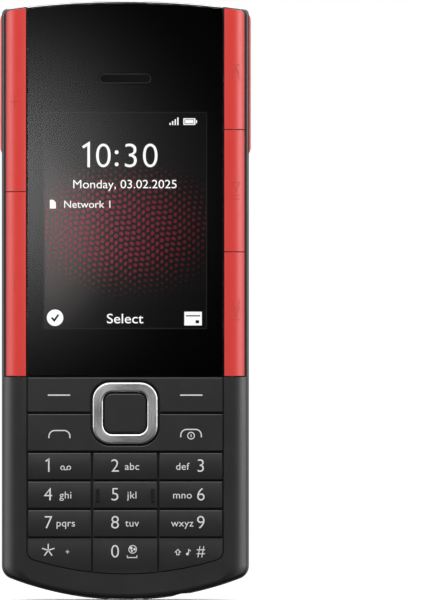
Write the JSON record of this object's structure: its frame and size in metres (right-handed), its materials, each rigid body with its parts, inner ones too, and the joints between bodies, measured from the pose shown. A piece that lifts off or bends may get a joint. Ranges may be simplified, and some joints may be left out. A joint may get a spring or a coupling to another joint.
{
  "type": "candybar phone",
  "caption": "Upright keypad phone with side music buttons, a navigation ring, and a sliding rear cover over a bay that holds a pair of wireless earbuds.",
  "frame": {"origin": "middle of the footprint at the lowest point of the low end", "axes": "+Z to the earpiece end, -Y out of the screen, +X right as seen from the front"},
  "size_m": [0.0562, 0.0148, 0.1344],
  "materials": {
    "red_plastic": "satin",
    "black_plastic": "satin",
    "cover_plastic": "fine matt",
    "key_plastic": "satin",
    "black_glass": "polished",
    "display": "lit screen",
    "brushed_ring": "brushed with bright edges",
    "dark_metal": "satin",
    "bright_metal": "plated",
    "circuit_board": "solder mask",
    "dark_rubber": "soft matt",
    "battery_wrap": "film wrap",
    "flash_glass": "clear dome",
    "earbud_plastic": "polished"
  },
  "bodies": {
    "phone": {"rail_frame": "red_plastic", "front_housing": "black_plastic", "rear_housing": "black_plastic", "bay_tray": "black_plastic", "battery_cover": "cover_plastic", "speaker_grille_upper": "cover_plastic", "speaker_grille_lower": "cover_plastic", "display_window": "black_glass", "camera_window": "black_glass", "display_panel": "display", "display_pan": "dark_metal", "earpiece_speaker": "dark_metal", "earpiece_grille": "dark_metal", "camera_ring": "dark_metal", "camera_module": "dark_metal", "loudspeaker_upper": "dark_metal", "loudspeaker_lower": "dark_metal", "usb_socket": "bright_metal", "vibration_motor": "bright_metal", "sim_card_holder": "bright_metal", "battery_contacts": "bright_metal", "housing_screw_left": "bright_metal", "housing_screw_right": "bright_metal", "main_board": "circuit_board", "keypad_board": "circuit_board", "side_switches_left": "circuit_board", "side_switches_right": "circuit_board", "key_mat": "dark_rubber", "headphone_jack": "dark_rubber", "ear_tip_left": "dark_rubber", "ear_tip_right": "dark_rubber", "battery": "battery_wrap", "flash_lens": "flash_glass", "earbud_left": "earbud_plastic", "earbud_right": "earbud_plastic"},
    "slider_cover": {"slider_cover": "red_plastic"},
    "key_1": {"key_1": "key_plastic"},
    "key_2": {"key_2": "key_plastic"},
    "key_3": {"key_3": "key_plastic"},
    "key_4": {"key_4": "key_plastic"},
    "key_5": {"key_5": "key_plastic"},
    "key_6": {"key_6": "key_plastic"},
    "key_7": {"key_7": "key_plastic"},
    "key_8": {"key_8": "key_plastic"},
    "key_9": {"key_9": "key_plastic"},
    "key_star": {"key_star": "key_plastic"},
    "key_0": {"key_0": "key_plastic"},
    "key_hash": {"key_hash": "key_plastic"},
    "soft_key_left": {"soft_key_left": "key_plastic"},
    "soft_key_right": {"soft_key_right": "key_plastic"},
    "call_key": {"call_key": "key_plastic"},
    "end_key": {"end_key": "key_plastic"},
    "select_key": {"select_key": "key_plastic"},
    "volume_up_button": {"volume_up_button": "red_plastic"},
    "volume_down_button": {"volume_down_button": "red_plastic"},
    "previous_button": {"previous_button": "red_plastic"},
    "play_button": {"play_button": "red_plastic"},
    "next_button": {"next_button": "red_plastic"},
    "nav_rocker": {"nav_rocker": "dark_rubber"},
    "nav_ring": {"nav_ring": "brushed_ring"}
  },
  "joints": [
    {"name": "cover_slide", "type": "slide", "parent": "phone", "child": "slider_cover", "axis": [0, 0, -1], "range_m": [0, 0.034]},
    {"name": "key_1_press", "type": "slide", "parent": "phone", "child": "key_1", "axis": [0, 1, 0], "range_m": [0, 0.00035], "stiffness_N_per_m": 2500},
    {"name": "key_2_press", "type": "slide", "parent": "phone", "child": "key_2", "axis": [0, 1, 0], "range_m": [0, 0.00035], "stiffness_N_per_m": 2500},
    {"name": "key_3_press", "type": "slide", "parent": "phone", "child": "key_3", "axis": [0, 1, 0], "range_m": [0, 0.00035], "stiffness_N_per_m": 2500},
    {"name": "key_4_press", "type": "slide", "parent": "phone", "child": "key_4", "axis": [0, 1, 0], "range_m": [0, 0.00035], "stiffness_N_per_m": 2500},
    {"name": "key_5_press", "type": "slide", "parent": "phone", "child": "key_5", "axis": [0, 1, 0], "range_m": [0, 0.00035], "stiffness_N_per_m": 2500},
    {"name": "key_6_press", "type": "slide", "parent": "phone", "child": "key_6", "axis": [0, 1, 0], "range_m": [0, 0.00035], "stiffness_N_per_m": 2500},
    {"name": "key_7_press", "type": "slide", "parent": "phone", "child": "key_7", "axis": [0, 1, 0], "range_m": [0, 0.00035], "stiffness_N_per_m": 2500},
    {"name": "key_8_press", "type": "slide", "parent": "phone", "child": "key_8", "axis": [0, 1, 0], "range_m": [0, 0.00035], "stiffness_N_per_m": 2500},
    {"name": "key_9_press", "type": "slide", "parent": "phone", "child": "key_9", "axis": [0, 1, 0], "range_m": [0, 0.00035], "stiffness_N_per_m": 2500},
    {"name": "key_star_press", "type": "slide", "parent": "phone", "child": "key_star", "axis": [0, 1, 0], "range_m": [0, 0.00035], "stiffness_N_per_m": 2500},
    {"name": "key_0_press", "type": "slide", "parent": "phone", "child": "key_0", "axis": [0, 1, 0], "range_m": [0, 0.00035], "stiffness_N_per_m": 2500},
    {"name": "key_hash_press", "type": "slide", "parent": "phone", "child": "key_hash", "axis": [0, 1, 0], "range_m": [0, 0.00035], "stiffness_N_per_m": 2500},
    {"name": "soft_key_left_press", "type": "slide", "parent": "phone", "child": "soft_key_left", "axis": [0, 1, 0], "range_m": [0, 0.00035], "stiffness_N_per_m": 2500},
    {"name": "soft_key_right_press", "type": "slide", "parent": "phone", "child": "soft_key_right", "axis": [0, 1, 0], "range_m": [0, 0.00035], "stiffness_N_per_m": 2500},
    {"name": "call_key_press", "type": "slide", "parent": "phone", "child": "call_key", "axis": [0, 1, 0], "range_m": [0, 0.00035], "stiffness_N_per_m": 2500},
    {"name": "end_key_press", "type": "slide", "parent": "phone", "child": "end_key", "axis": [0, 1, 0], "range_m": [0, 0.00035], "stiffness_N_per_m": 2500},
    {"name": "select_key_press", "type": "slide", "parent": "phone", "child": "select_key", "axis": [0, 1, 0], "range_m": [0, 0.00035], "stiffness_N_per_m": 2500},
    {"name": "volume_up_button_press", "type": "slide", "parent": "phone", "child": "volume_up_button", "axis": [0.7071, 0.7071, 0], "range_m": [0, 0.0003], "stiffness_N_per_m": 2500},
    {"name": "volume_down_button_press", "type": "slide", "parent": "phone", "child": "volume_down_button", "axis": [0.7071, 0.7071, 0], "range_m": [0, 0.0003], "stiffness_N_per_m": 2500},
    {"name": "previous_button_press", "type": "slide", "parent": "phone", "child": "previous_button", "axis": [-0.7071, 0.7071, 0], "range_m": [0, 0.0003], "stiffness_N_per_m": 2500},
    {"name": "play_button_press", "type": "slide", "parent": "phone", "child": "play_button", "axis": [-0.7071, 0.7071, 0], "range_m": [0, 0.0003], "stiffness_N_per_m": 2500},
    {"name": "next_button_press", "type": "slide", "parent": "phone", "child": "next_button", "axis": [-0.7071, 0.7071, 0], "range_m": [0, 0.0003], "stiffness_N_per_m": 2500},
    {"name": "nav_tilt_sideways", "type": "hinge", "parent": "phone", "child": "nav_rocker", "pos_m": [0, -0.0056, 0.042], "axis": [0, 0, 1], "range_deg": [-2, 2], "stiffness_Nm_per_rad": 0.9},
    {"name": "nav_tilt_up_down", "type": "hinge", "parent": "nav_rocker", "child": "nav_ring", "pos_m": [0, -0.0056, 0.042], "axis": [1, 0, 0], "range_deg": [-2, 2], "stiffness_Nm_per_rad": 0.9}
  ]
}
